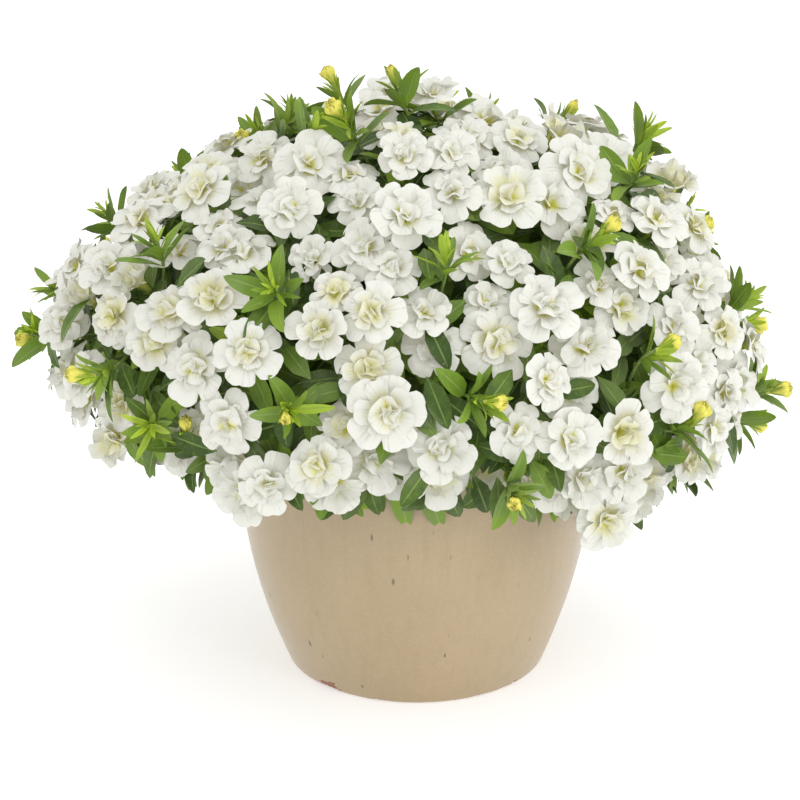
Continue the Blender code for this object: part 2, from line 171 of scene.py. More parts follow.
# Leaves that hang over the rim: degrees round the pot and length
HANGING = ((221, 0.032), (238, 0.018), (256, 0.024), (264, 0.036), (271, 0.038), (300, 0.022),
           (335, 0.024), (25, 0.022), (62, 0.028), (98, 0.024), (131, 0.026), (168, 0.023),
           (195, 0.027))

# Sprigs that stand out of the canopy's outline: degrees round it as seen from the front,
# how far each stands proud, and 1 where it carries a bud
SPRIGS = ((124, -0.006, 0), (128, -0.009, 1), (106, -0.011, 1), (76, -0.008, 0), (71, -0.007, 0),
          (34, -0.008, 0), (29, -0.003, 0), (23, -0.006, 1), (9, -0.002, 1), (-8, 0.005, 1),
          (-14, 0.002, 0), (-27, -0.003, 0), (163, -0.003, 0), (168, 0.0, 0), (175, 0.0, 1),
          (183, -0.001, 0), (203, -0.002, 1), (214, 0.0, 1))
SPRIG_BACK = 0.40

# Blooms that hang under the canopy beside the pot: where, and how big
LOW_BLOOMS = (((-0.088, -0.128, 0.147), 0.020), ((0.101, -0.115, 0.124), 0.017))

# Painted glow: thin petals and leaves give a faint light of their own for the light they pass on
PETAL_GLOW = 0.14
LEAF_GLOW = 0.06

# Floor and lamps: the name, place and size of each, the height it is aimed at, its power
FLOOR_WHITE = (0.80, 0.80, 0.80, 1)
FLOOR_GLOW = 0.42
LAMPS = (("overhead", (0.5, -0.4, 1.7), 1.8, 0.10, 7.1),
         ("left", (-1.6, -1.2, 0.9), 1.2, 0.15, 1.5),
         ("right", (1.3, -1.4, 0.7), 0.7, 0.12, 5.5))

# Camera: the photograph's view, 800 by 800
PICTURE = 800
SENSOR = 36
MM_PER_PIXEL = 0.55
CAMERA_RISE = radians(20)
CAMERA_DISTANCE = 1.40
POT_MIDDLE_PIXEL = 416.5
POT_FOOT_PIXEL = 655


# Where everything on the canopy is


def polar(radius, turn, height):
    """The point at that radius, turn and height."""
    return Vector((radius * cos(turn), radius * sin(turn), height))


def canopy_axes(offsets):
    """The canopy's half-axes towards each offset from its middle, with its lumps."""
    x, y, z = offsets.T
    left, near = x < 0, y < 0
    across = x**2 / (x**2 + y**2 + 1e-12)
    droop = (np.where(near, DROOP_FRONT, DROOP_BACK) * (1 - across)
             + np.where(left, DROOP_LEFT, DROOP_RIGHT) * across)
    tall = np.where(z > 0, CANOPY_RISE, droop)
    axes = np.stack([np.where(left, REACH_LEFT, REACH_RIGHT),
                     np.where(near, REACH_FRONT, REACH_BACK), tall], axis=1)
    seen = np.degrees(np.arctan2(z, x)) % 360
    aside = np.hypot(x, z) / (np.linalg.norm(offsets, axis=1) + 1e-12)
    for middle, width, amount in LUMPS:
        apart = np.abs((seen - middle + 180) % 360 - 180)
        axes *= (1 + amount * aside**2 * np.exp(-((apart / width) ** 2)))[:, None]
    return axes


def onto_canopy(points):
    """The points moved along their own directions onto the canopy's surface."""
    offsets = points - CANOPY_MIDDLE
    axes = canopy_axes(offsets)
    unit = offsets / axes
    unit /= np.linalg.norm(unit, axis=1, keepdims=True)
    sine = np.maximum(unit[:, 2], LOWEST_SINE)
    level = np.linalg.norm(unit[:, :2], axis=1) + 1e-12
    unit[:, :2] *= (np.sqrt(1 - sine**2) / level)[:, None]
    unit[:, 2] = sine
    return CANOPY_MIDDLE + unit * axes


def spread(count, spacing, jitter, seed):
    """Points spread evenly over the canopy: a golden-angle spiral, shaken and pushed apart."""
    draw = np.random.default_rng(seed)
    steps = np.arange(count)
    sine = 1 - (steps + 0.5) / count * (1 - LOWEST_SINE)
    flat = np.sqrt(1 - sine**2)
    turn = steps * GOLDEN_ANGLE
    unit = np.stack([flat * np.cos(turn), flat * np.sin(turn), sine], axis=1)
    points = onto_canopy(CANOPY_MIDDLE + unit * 0.1)
    points = onto_canopy(points + draw.uniform(-jitter, jitter, points.shape))
    for _ in range(RELAX_STEPS):
        apart = points[:, None] - points[None]
        distance = np.linalg.norm(apart, axis=2) + np.eye(count)
        push = np.clip(spacing - distance, 0, None) / distance * (1 - np.eye(count))
        points = onto_canopy(points + RELAX_SHARE * (apart * push[..., None]).sum(axis=1))
    return points


def away_from(heart, place, face):
    """The face turned until it looks well away from the heart of the stem behind it."""
    behind = (place - heart).normalized()
    while face.dot(behind) < FACE_AWAY:
        face = (face + behind * 0.2).normalized()
    return face


def facing_at(point):
    """The way a bloom looks: out of the canopy, and never down."""
    offset = np.array(point) - CANOPY_MIDDLE
    axes = canopy_axes(offset[None])[0]
    out = Vector((offset[0] / axes[0] ** 2, offset[1] / axes[1] ** 2,
                  max(offset[2], 0) / CANOPY_RISE**2)).normalized()
    return (out + Vector((0, 0, FACE_LIFT))).normalized()


def settle_at(point):
    """How much deeper than the solids' surface the flowers sit at a point of it."""
    offset = Vector(point) - Vector(CANOPY_MIDDLE)
    up = offset.y * sin(CAMERA_RISE) + offset.z * cos(CAMERA_RISE)
    seen = degrees(atan2(up, offset.x))
    aside = hypot(offset.x, up) / offset.length
    angles, depths = zip(*SETTLE)
    return aside**2 * float(np.interp(seen, angles, depths, period=360))


def new_site(draw, surface, face, proud, radius, bud=None):
    """A bloom of that radius or, where bud says whether it has one, a leafy shoot."""
    tilt = Vector([draw.uniform(-1, 1) for _ in range(3)])
    return {"surface": surface, "place": surface + face * proud, "face": face,
            "radius": radius, "shoot": bud is not None, "bud": bool(bud),
            "tilt": tilt, "turn": draw.uniform(0, tau)}


def lay_out_sites():
    """Every bloom and shoot: its place, the way it faces, its size and how deep it sits."""
    draw = random.Random(SITE_SEED)
    sites = []
    for index, point in enumerate(spread(SITE_COUNT, SITE_SPACING, SITE_JITTER, SITE_SEED)):
        radius = draw.uniform(*BLOOM_RADIUS)
        site = new_site(draw, Vector(point), facing_at(point), 0, radius)
        site["shoot"] = index % SHOOT_EVERY == 2
        site["bud"] = site["shoot"] and draw.random() < BUD_SHARE
        sites.append(site)
    for index, site in enumerate(sites):
        if site["shoot"]:
            continue
        near = {other["layer"] for other in sites[:index] if not other["shoot"]
                and (other["surface"] - site["surface"]).length < other["radius"] + site["radius"]}
        free = [layer for layer in range(LAYER_COUNT) if layer not in near]
        site["layer"] = free[0] if free else LAYER_COUNT - 1
    for site in sites:
        sink = -SHOOT_STAND if site["shoot"] else site["layer"] * LAYER_STEP
        site["place"] = site["surface"] - site["face"] * sink
    return sites


def nearest_stem(stems, point):
    return min(stems, key=lambda stem: (stem["aim"] - point).length)


def lay_out_stems(sites):
    """Each stem's foot, its fork, its share of the sites, and the heart they grow from."""
    stems = []
    for place in spread(STEM_COUNT, STEM_SPACING, STEM_JITTER, STEM_SEED):
        height = min(max((place[2] - POT_HEIGHT) / CANOPY_RISE, 0), 1)
        depth = FORK_DEPTH[0] + (FORK_DEPTH[1] - FORK_DEPTH[0]) * height
        fork = clear_of_pot(Vector(place) - facing_at(place) * depth)
        level = Vector((fork.x, fork.y, 0))
        share = 1 - max((fork.z - POT_HEIGHT) / CANOPY_RISE, 0)
        foot = level.normalized() * FOOT_SPREAD * share**0.5
        foot.z = SOIL_LEVEL - HOLE_DEPTH
        stems.append({"fork": fork, "foot": foot, "aim": Vector(place), "sites": []})
    for site in sites:
        nearest_stem(stems, site["surface"])["sites"].append(site)
    for stem in stems:
        roots = [site["place"] - site["face"] * CORE_DEPTH for site in stem["sites"]]
        middle = sum(roots, Vector()) / len(roots)
        stem["heart"] = middle.lerp(stem["fork"], HEART_SHARE)
        for site in stem["sites"]:
            face = (site["face"] + site["tilt"] * BLOOM_TILT).normalized()
            site["face"] = away_from(stem["heart"], site["place"], face)
    return stems


def clear_of_pot(point):
    """The point, moved outwards if it would be too near the pot's wall or rim."""
    if point.z > POT_HEIGHT + OVER_RIM:
        return point
    level = Vector((point.x, point.y, 0))
    reach = max(level.length, RIM_RADIUS + POT_CLEARANCE)
    return level.normalized() * reach + Vector((0, 0, point.z))


# Surfaces: sums of signals read as sums


class Signal:
    """A socket of a finish, so that its shader maths is written as Python sums."""

    def __init__(self, finish, socket):
        self.finish = finish
        self.socket = socket

    def maths(self, operation, other):
        return self.finish.add("ShaderNodeMath", {"operation": operation}, {0: self, 1: other})

    def __add__(self, other):
        return self.maths("ADD", other)

    def __sub__(self, other):
        return self.maths("SUBTRACT", other)

    def __mul__(self, other):
        return self.maths("MULTIPLY", other)


class Finish:
    """A Principled material and the nodes that feed it."""

    def __init__(self, name, roughness, specular=0.5, coat=0.0, sheen=0.0):
        self.material = bpy.data.materials.new(name)
        self.material.use_nodes = True
        self.nodes = self.material.node_tree.nodes
        self.links = self.material.node_tree.links
        self.surface = self.nodes["Principled BSDF"]
        self.set("Roughness", roughness)
        self.set("Specular IOR Level", specular)
        self.set("Coat Weight", coat)
        self.set("Sheen Weight", sheen)

    def set(self, socket, value):
        self.surface.inputs[socket].default_value = value

    def add(self, kind, settings=None, inputs=None, output=0):
        """A node with its settings first, then its inputs; gives one of its outputs."""
        made = self.nodes.new(kind)
        for setting, value in (settings or {}).items():
            setattr(made, setting, value)
        for socket, value in (inputs or {}).items():
            if isinstance(value, Signal):
                self.links.new(value.socket, made.inputs[socket])
            else:
                made.inputs[socket].default_value = value
        return Signal(self, made.outputs[output])

    def scaled(self, point, scale):
        return self.add("ShaderNodeVectorMath", {"operation": "MULTIPLY"}, {0: point, 1: scale})

    def place(self, scale=(1, 1, 1)):
        """The point on the object, in metres, with each axis scaled."""
        return self.scaled(self.add("ShaderNodeTexCoord", output="Object"), scale)

    def uv(self, scale=(1, 1, 1)):
        return self.scaled(self.add("ShaderNodeUVMap", {"uv_map": "UVMap"}), scale)

    def part(self, vector, axis):
        return self.add("ShaderNodeSeparateXYZ", inputs={0: vector}, output=axis)

    def value(self, name):
        """A number kept on the mesh's points."""
        return self.add("ShaderNodeAttribute", {"attribute_name": name}, output="Fac")

    def grain(self, scale, detail, at=None, roughness=0.55):
        return self.add("ShaderNodeTexNoise", inputs={
            "Vector": at or self.place(), "Scale": scale, "Detail": detail, "Roughness": roughness})

    def ease(self, value, low, high, start=0.0, end=1.0):
        """A smooth step from start to end as the value goes from low to high."""
        return self.add("ShaderNodeMapRange", {"interpolation_type": "SMOOTHSTEP"},
                        {"Value": value, "From Min": low, "From Max": high,
                         "To Min": start, "To Max": end})

    def mix(self, share, first, second):
        """A colour between two colours."""
        first, second = [colour if isinstance(colour, Signal) else (*colour, 1.0)
                         for colour in (first, second)]
        return self.add("ShaderNodeMix", {"data_type": "RGBA"}, {0: share, 6: first, 7: second},
                        output=2)

    def spots(self, vector, scale):
        """The distance to the nearest of many scattered points."""
        return self.add("ShaderNodeTexVoronoi", inputs={"Vector": vector, "Scale": scale})

    def pits(self, scale, squash, size, chosen):
        """Small pits, long down the wall, where chosen is 1."""
        return self.ease(self.spots(self.place((1, 1, squash)), scale), size, size * 0.45) * chosen

    def feed(self, socket, value):
        self.links.new(value.socket, self.surface.inputs[socket])

    def bump(self, height, strength, depth):
        self.feed("Normal", self.add("ShaderNodeBump", inputs={
            "Height": height, "Strength": strength, "Distance": depth}))


def glaze():
    """Satin beige glaze: faintly streaked down the wall, specked, pitted and chipped, with a dark
    ragged foot edge that is partly wear and partly painted shade.
    """
    look = Finish("beige_glaze", 0.36, coat=0.30)
    wide = look.grain(16, 3)
    streak = look.grain(190, 3, look.place((1, 1, 0.05)))
    fine = look.grain(520, 2)
    colour = look.mix(look.ease(wide, 0.3, 0.7), (0.382, 0.287, 0.166), (0.418, 0.318, 0.189))
    colour = look.mix(look.ease(streak, 0.45, 0.75) * 0.30, colour, (0.335, 0.245, 0.135))
    colour = look.mix(look.ease(fine, 0.45, 0.7) * 0.14, colour, (0.52, 0.42, 0.27))
    pit = (look.pits(85.0, 0.34, 0.10, look.ease(look.grain(60, 1), 0.42, 0.46))
           + look.pits(120.0, 0.22, 0.085, look.ease(wide, 0.50, 0.58)))
    colour = look.mix(pit * 0.75, colour, (0.085, 0.060, 0.040))
    # Bare clay colour where the foot is chipped and along its ragged bottom edge; on that edge the
    # dark colour is also painted shade for the gap under the foot.
    wear_and_foot_shade = look.value("wear_and_foot_shade")
    bare_clay_and_foot_shade = look.mix(look.ease(fine, 0.4, 0.6), (0.22, 0.090, 0.042), (0.34, 0.165, 0.085))
    colour = look.mix(look.ease(wear_and_foot_shade + fine * 0.3, 0.38, 0.50), colour, bare_clay_and_foot_shade)
    look.feed("Base Color", colour)
    look.feed("Roughness", look.ease(wide + wear_and_foot_shade, 0.3, 1.4, 0.32, 0.8))
    look.bump(wide * 0.3 + streak * 0.35 + fine * 0.12 - pit * 0.9, 0.22, 0.0012)
    return look.material


def peat():
    """Dark crumbly potting mix with a few pale grains."""
    look = Finish("potting_mix", 0.95, 0.2)
    crumbs = look.grain(260, 6, roughness=0.7)
    colour = look.mix(look.ease(crumbs, 0.35, 0.7), (0.018, 0.011, 0.007), (0.085, 0.052, 0.032))
    grains = look.spots(look.place(), 170.0)
    picked = look.ease(look.grain(95, 1), 0.62, 0.66)
    colour = look.mix(look.ease(grains, 0.22, 0.15) * picked, colour, (0.62, 0.58, 0.50))
    look.feed("Base Color", colour)
    look.bump(crumbs, 1.0, 0.0025)
    return look.material


def petal():
    """White petals, ivory towards the middle and yellow-green in the creases, finely veined."""
    look = Finish("petal", 0.62, 0.25, sheen=0.08)
    out = look.part(look.uv(), "Y")
    layer = look.value("layer")
    tone = look.value("tone")
    cloud = look.grain(210, 2)
    white = look.ease(out - layer * 0.40 - tone * 0.42 + cloud * 0.34, 0.04, 0.58)
    crease = look.ease(out - layer * 0.30 + cloud * 0.40, 0.56, 0.16)
    colour = look.mix(white, (0.630, 0.614, 0.390), (0.638, 0.640, 0.602))
    colour = look.mix(crease, colour, (0.590, 0.585, 0.080))
    throat = look.ease(out + layer, 0.13, 0.05)
    colour = look.mix(throat, colour, (0.36, 0.28, 0.02))
    veins = look.grain(1.0, 2, look.uv((52, 1.1, 1)))
    lines = look.ease(veins, 0.56, 0.64)
    colour = look.mix(lines * 0.42, colour, (0.39, 0.42, 0.32))
    look.feed("Base Color", colour)
    # Painted glow: the petals give off a faint warm light of their own, which lifts and warms their
    # shade.
    look.feed("Emission Color", look.mix(0.5, colour, (0.640, 0.600, 0.280)))
    look.set("Emission Strength", PETAL_GLOW)
    look.bump(cloud * 0.4 - veins, 0.45, 0.0006)
    return look.material


def trumpet():
    """The pale green tubes behind the blooms, and the yellow buds: finely pleated."""
    look = Finish("trumpet", 0.6, 0.3)
    out = look.part(look.uv(), "Y")
    tone = look.value("tone")
    colour = look.mix(look.ease(out + tone, 0.5, 1.5), (0.36, 0.46, 0.10), (0.78, 0.72, 0.13))
    pleats = look.grain(1.0, 2, look.uv((30, 0.8, 1)))
    colour = look.mix(look.ease(pleats, 0.5, 0.7) * 0.4, colour, (0.46, 0.54, 0.08))
    look.feed("Base Color", colour)
    look.bump(pleats, 0.5, 0.0006)
    return look.material


def leaf():
    """Matt leaves with a paler midrib: dark when old, bright yellow-green when young or under
    painted backlight.
    """
    look = Finish("leaf", 0.50, 0.32)
    across, along = look.part(look.uv(), "X"), look.part(look.uv(), "Y")
    age_and_backlight = look.value("tone")
    cloud = look.grain(120, 3)
    colour = look.mix(look.ease(age_and_backlight + cloud * 0.3, 0.20, 0.60), (0.033, 0.067, 0.007),
                      (0.158, 0.262, 0.023))
    colour = look.mix(look.ease(age_and_backlight + cloud * 0.15, 0.52, 1.0), colour, (0.420, 0.560, 0.040))
    dull = look.grain(42, 1)
    colour = look.mix(look.ease(dull, 0.50, 0.60) * 0.42, colour, (0.150, 0.204, 0.076))
    middle = look.add("ShaderNodeMath", {"operation": "ABSOLUTE"}, {0: across - 0.5})
    rib = look.ease(middle, 0.07, 0.015) * look.ease(along, 1.0, 0.6)
    side = look.grain(1.0, 1, look.uv((3.5, 16, 1)))
    colour = look.mix(rib * 0.40, colour, (0.34, 0.46, 0.13))
    colour = look.mix(look.ease(side, 0.55, 0.68) * 0.16, colour, (0.17, 0.30, 0.05))
    look.feed("Base Color", colour)
    # Painted glow: the leaves give off a faint light of their own colour, which lifts their shade.
    look.feed("Emission Color", colour)
    look.set("Emission Strength", LEAF_GLOW)
    look.bump(side * 0.5 - rib * 0.9 + cloud * 0.25, 0.5, 0.0007)
    return look.material


def green_stem():
    look = Finish("green_stem", 0.55, 0.35)
    streak = look.grain(180, 3)
    look.feed("Base Color", look.mix(look.ease(streak, 0.35, 0.7), (0.10, 0.17, 0.03),
                                         (0.24, 0.33, 0.08)))
    look.bump(streak, 0.4, 0.0004)
    return look.material


# Pieces


def mesh_from(bm, name):
    """A mesh made from a bmesh, which is freed."""
    mesh = bpy.data.meshes.new(name)
    bm.to_mesh(mesh)
    bm.free()
    return mesh


def put(name, data):
    """An object of a mesh, lamp or camera, put into the scene."""
    made = bpy.data.objects.new(name, data)
    bpy.context.scene.collection.objects.link(made)
    return made


def finished(bm, name, nodes, materials):
    """Makes a smooth piece from a bmesh, at the origin, standing for the nodes."""
    mesh = mesh_from(bm, name)
    piece = put(name, mesh)
    for material in materials:
        mesh.materials.append(material)
    mesh.shade_smooth()
    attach(piece, "root")
    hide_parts(*nodes)


def pot_radius(height):
    """The pot's outer radius at a height above its foot."""
    left = 1 - height / POT_HEIGHT
    return RIM_RADIUS - (RIM_RADIUS - FOOT_RADIUS) * left**WALL_CURVE


def revolve(profile, steps, near=1e-6):
    """A surface turned from (radius, height) points; points that near are joined."""
    bm = bmesh.new()
    points = [bm.verts.new((radius, 0, height)) for radius, height in profile]
    edges = [bm.edges.new(pair) for pair in zip(points, points[1:])]
    bmesh.ops.spin(bm, geom=points + edges, cent=(0, 0, 0), axis=(0, 0, 1),
                   angle=tau, steps=steps, use_merge=True)
    bmesh.ops.remove_doubles(bm, verts=bm.verts[:], dist=near)
    return bm


def chipped(turn, height):
    """How far the foot's edge is chipped away at a turn round the pot, from 0 to 1."""
    chip = 0
    for middle, width, tall in CHIPS:
        apart = (degrees(turn) - middle + 180) % 360 - 180
        ragged = 1 + 0.5 * noise.noise(Vector((apart * 0.9, height * 900, middle)))
        reach = hypot(apart / width, height / tall) * ragged
        chip = max(chip, 1 - reach**3)
    return max(0, chip)


def make_pot():
    """The pot with its rounded rim and slightly uneven, hand-finished wall and foot."""
    shoulder = POT_HEIGHT - RIM_ROUND
    low = [(pot_radius(h) + 0.0001, h) for h in FOOT_HEIGHTS]
    outer = low + [(pot_radius(h), h) for h in np.linspace(0.010, shoulder, WALL_RINGS)]
    middle = RIM_RADIUS - WALL / 2
    rim = [(middle + WALL / 2 * cos(a), shoulder + RIM_ROUND * sin(a)) for a in RIM_ANGLES]
    inner = [(pot_radius(h) - WALL, h) for h in np.linspace(shoulder - 0.002, FLOOR + 0.006, 16)]
    foot = [(0, 0.0008), (DRAIN_RING - 0.012, 0.0008), (DRAIN_RING + 0.012, 0.0008),
            (FOOT_RADIUS - 0.008, 0.0008), (FOOT_RADIUS - 0.005, 0), (FOOT_RADIUS - 0.0012, 0),
            (FOOT_RADIUS - 0.0003, 0.0004)]
    floor = [(pot_radius(FLOOR) - WALL - 0.006, FLOOR), (0, FLOOR)]
    bm = revolve(foot + outer + rim + inner + floor, POT_STEPS)
    bmesh.ops.recalc_face_normals(bm, faces=bm.faces[:])
    wear_and_foot_shade = bm.verts.layers.float.new("wear_and_foot_shade")
    for point in bm.verts:
        level = Vector((point.co.x, point.co.y, 0))
        if level.length < FOOT_RADIUS - 0.002:
            continue
        swell = noise.noise(point.co * 14) * 0.0005 + noise.noise(point.co * 45) * 0.00012
        turn = atan2(point.co.y, point.co.x)
        chip = chipped(turn, point.co.z) if point.co.z < 0.012 else 0
        edge = max(0, 1 - point.co.z / 0.0035)
        ragged = max(0, noise.noise(Vector((degrees(turn) * 0.09, 0, 3)))) * edge
        # Chips and the ragged bottom edge are marked for dark bare clay; on the edge this is partly
        # wear and partly painted shade under the foot.
        point[wear_and_foot_shade] = max(chip, ragged * 1.1)
        point.co += level.normalized() * (swell - 0.0010 * chip - 0.0008 * ragged)
        point.co.z += 0.0005 * ragged * edge
    finished(with_drain_holes(bm), "fine_pot", ["pot"], [glaze()])


def with_drain_holes(bm):
    """The pot's mesh with its drain holes cut through the floor."""
    drills = bmesh.new()
    for index in range(DRAIN_COUNT):
        turn = tau * index / DRAIN_COUNT + pi / 2
        centre = polar(1, turn, 0) * DRAIN_RING
        bmesh.ops.create_cone(drills, cap_ends=True, segments=40, radius1=DRAIN_RADIUS,
                              radius2=DRAIN_RADIUS, depth=FLOOR * 3,
                              matrix=Matrix.Translation(centre))
    pot, drill = [put("loose", mesh_from(shape, "loose")) for shape in (bm, drills)]
    cut = pot.modifiers.new("drain", "BOOLEAN")
    cut.object = drill
    cut.operation = "DIFFERENCE"
    shown = pot.evaluated_get(bpy.context.evaluated_depsgraph_get())
    cut_bm = bmesh.new()
    cut_bm.from_mesh(shown.to_mesh())
    for loose in (pot, drill):
        bpy.data.objects.remove(loose)
    return cut_bm


def make_soil():
    """Crumbly soil that fills the pot up to its level, mounded in the middle."""
    rings = [(r, SOIL_LEVEL + SOIL_MOUND * (1 - r / 0.09))
             for r in np.linspace(SOIL_TOP_RADIUS, 0, 34)]
    edge = [(pot_radius(h) - WALL - 0.0009, h) for h in (FLOOR + 0.008, 0.07, SOIL_LEVEL - 0.003)]
    bottom = [(0, FLOOR + 0.001), (edge[0][0] - 0.009, FLOOR + 0.001)]
    bm = revolve(bottom + edge + rings, SOIL_STEPS)
    bmesh.ops.recalc_face_normals(bm, faces=bm.faces[:])
    for point in bm.verts:
        if point.co.z > SOIL_LEVEL - 0.001:
            crumb = noise.fractal(point.co * CRUMB_SCALE, 0.9, 2.1, 4)
            point.co.z += CRUMB_HEIGHT * crumb - 0.0006
    finished(bm, "crumbly_soil", ["potting_soil"], [peat()])


# Patterns of the plant's parts: each is made once and copied to its places

PETAL, TUBE = 0, 1
LEAF, STEM = 0, 1
LOBES = 5
BLOOM_KINDS = 20
YOUNG_KINDS = ((50, 0.15), (51, 0.25), (52, 0.38), (53, 0.50))
BUD_KINDS = ((5, 0.20), (6, 0.27), (8, 0.33), (9, 0.30))
LEAF_KINDS = ((0.36, 0.12, 0.15), (0.32, 0.25, -0.2), (0.38, 0.38, 0.3),
              (0.34, 0.05, -0.35), (0.30, 0.30, 0.1), (0.28, 0.15, -0.1))
SLIP_KINDS = ((0.22, -0.05), (0.19, 0.12), (0.15, 0.3))
THROAT = 0.02
TUBE_DEPTH = 0.98
CALYX_AT = Vector((0, 0, -0.96))
WIDEST = 0.72
TIP = 0.68
TIP_ROWS = 1.7
BUD_WAIST = 0.70
BUD_RISE = 0.86


def add_mesh(whole, bm):
    """Moves one growing mesh into another."""
    spare = mesh_from(bm, "spare")
    whole.from_mesh(spare)
    bpy.data.meshes.remove(spare)


class Pattern:
    """A small mesh in its own frame, with a UV map and its layer and tone on its points."""

    def __init__(self, bm, material_index):
        for face in bm.faces:
            face.material_index = material_index
        self.mesh = mesh_from(bm, "pattern")
        for name in ("layer", "tone"):
            if name not in self.mesh.attributes:
                self.mesh.attributes.new(name, "FLOAT", "POINT")
        self.count = len(self.mesh.vertices)

    def copy_into(self, bm, matrix, tone):
        """Adds a copy of the pattern to a growing mesh."""
        twin = self.mesh.copy()
        twin.transform(matrix)
        twin.attributes["tone"].data.foreach_set("value", np.full(self.count, tone, "f"))
        bm.from_mesh(twin)
        bpy.data.meshes.remove(twin)


def mark_layer(bm, layer):
    mark = bm.verts.layers.float.new("layer")
    for point in bm.verts:
        point[mark] = layer


def polar_sheet(columns, rings, layer):
    """A flat round sheet of radius 1 with its UV map: turn across, radius up."""
    chain = [(THROAT + (1 - THROAT) * i / rings, 0) for i in range(rings + 1)]
    bm = revolve(chain, columns, 1e-5)
    uv = bm.loops.layers.uv.new("UVMap")
    for face in bm.faces:
        middle = face.calc_center_median()
        turn = atan2(middle.y, middle.x)
        for loop in face.loops:
            at = loop.vert.co
            swing = (atan2(at.y, at.x) - turn + pi) % tau - pi
            loop[uv].uv = ((turn + swing) / tau, at.xy.length)
    mark_layer(bm, layer)
    return bm


def flat_blade(columns, rows, share=1.0):
    """A flat unit square with its UV map: u across from 0 to share, v along."""
    bm = bmesh.new()
    bmesh.ops.create_grid(bm, x_segments=columns, y_segments=rows, size=0.5)
    uv = bm.loops.layers.uv.new("UVMap")
    for face in bm.faces:
        for loop in face.loops:
            loop[uv].uv = ((loop.vert.co.x + 0.5) * share, loop.vert.co.y + 0.5)
    return bm


def wave(draw, terms):
    """A smooth closed ripple round the turn, made of a few seeded waves."""
    parts = [(count, amount * draw.uniform(0.6, 1.2), draw.uniform(0, tau))
             for count, amount in terms]
    return lambda turn: sum(a * sin(n * turn + p) for n, a, p in parts)


def corolla(draw, radius, notch, columns, rings, layer, profile, ruffle, crease, furl):
    """One layer of a bloom: lobes that join towards the throat, drawn up and in by furl."""
    bm = polar_sheet(columns, rings, layer)
    spans = ((0.85, 1.06), (-0.10, 0.10), (-0.14, 0.12), (-0.09, 0.09))
    sizes, skew, lift, roll = [[draw.uniform(*span) for _ in range(LOBES)] for span in spans]
    ripple = wave(draw, [(3, ruffle), (7, ruffle * 0.7), (11, ruffle * 0.35)])
    wobble = wave(draw, [(9, 0.011), (14, 0.008), (22, 0.004)])
    step = tau / LOBES
    for point in bm.verts:
        share = point.co.xy.length
        turn = atan2(point.co.y, point.co.x) % tau
        lobe = int(turn // step) % LOBES
        aside = max(-1, min(1, (turn / step - lobe) * 2 - 1))
        bent = aside + skew[lobe] * (1 - aside * aside)
        outline = notch + (1 - notch) * (1 - abs(bent) ** 2.8) ** 0.5
        outline -= 0.10 * exp(-((bent / 0.10) ** 2)) * (1 - notch)
        size = 1 + (sizes[lobe] - 1) * (1 - aside**4)
        reach = radius * size * (1 + (outline - 1) * share**1.4) * share
        reach *= 1 + wobble(turn) * share
        groove = crease * share * exp(-((bent / 0.16) ** 2))
        ridge = crease * 0.9 * share * exp(-(((1 - abs(aside)) / 0.22) ** 2))
        own = (lift[lobe] * (1 - aside**4) + roll[lobe] * aside) * share**2
        height = profile(share) + ripple(turn) * share**2.2 + own + furl * 0.9 * share**1.5
        reach *= 1 - 0.42 * furl * share
        point.co = polar(reach, turn, height - groove + ridge)
    return bm


def outer_profile(share):
    return -0.42 * exp(-share * 6.5) + 0.09 * share - 0.13 * share**4


def middle_profile(share):
    return -0.36 * exp(-share * 5.0) + 0.20 * share**1.3 - 0.04 * share**5


def petaloid(draw, length, width, lean, curl, turn):
    """A small folded petal of the rosette: it rises from the throat and curls over."""
    bm = flat_blade(6, 5, 0.20)
    fold = draw.uniform(-0.9, 1.0)
    shift = draw.uniform(-0.4, 0.4)
    phase = draw.uniform(0, tau)
    crumple = draw.uniform(0.03, 0.07)
    bulge = draw.uniform(0.0, 0.16)
    for point in bm.verts:
        aside, along = point.co.x * 2, point.co.y + 0.5
        half = width / 2 * (0.20 + 0.80 * sin(min(1, along * 1.2) * pi / 2))
        run = length * along * (1 - 0.26 * abs(aside) ** 2.4 * along)
        angle = lean + curl * along
        middle = lean + curl * along / 2
        out = run * sin(middle)
        up = run * cos(middle)
        sink = fold * half * (hypot(aside - shift, 0.25) - 0.6) * (0.3 + 0.7 * along)
        sink += crumple * sin(2.6 * aside + phase + 2.2 * along) * along
        sink -= bulge * sin(along * pi) * (1 - aside * aside)
        x = half * aside + crumple * 0.5 * sin(4 * along + phase)
        y = out + sink * cos(angle)
        z = up - sink * sin(angle) - 0.15
        point.co = Vector((y * cos(turn) - x * sin(turn), y * sin(turn) + x * cos(turn), z))
    mark_layer(bm, 1.0)
    return bm


